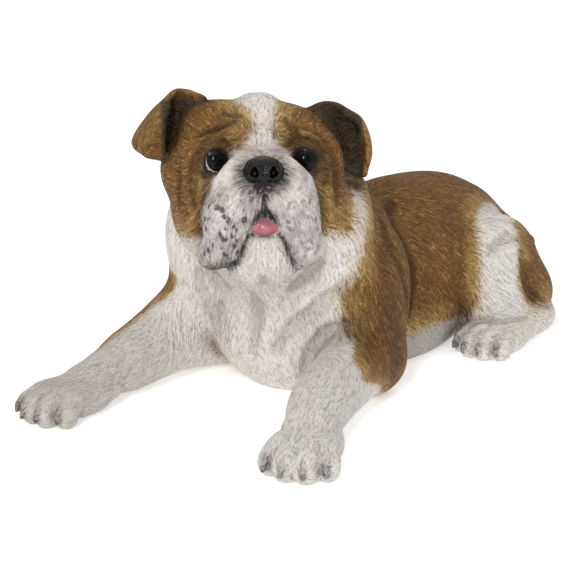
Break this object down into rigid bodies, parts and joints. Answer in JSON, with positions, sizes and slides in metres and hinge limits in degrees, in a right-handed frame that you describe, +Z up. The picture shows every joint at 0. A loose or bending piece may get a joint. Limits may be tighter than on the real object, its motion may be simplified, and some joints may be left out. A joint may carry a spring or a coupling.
{
  "type": "bulldog garden statue",
  "caption": "Life-size bulldog puppy lying on its belly with its forelegs stretched out and its head turned, cast in one piece and painted.",
  "frame": {"origin": "centre of the bounding box at the floor, under the chest and belly", "axes": "+Z up from the floor, +Y towards the rump, +X to the dog's own left"},
  "size_m": [0.2666, 0.4804, 0.2156],
  "materials": {
    "painted_resin": "painted coat of brown and white, gloss eyes, nose and tongue"
  },
  "bodies": {
    "root": {"bulldog": "painted_resin"}
  },
  "joints": []
}
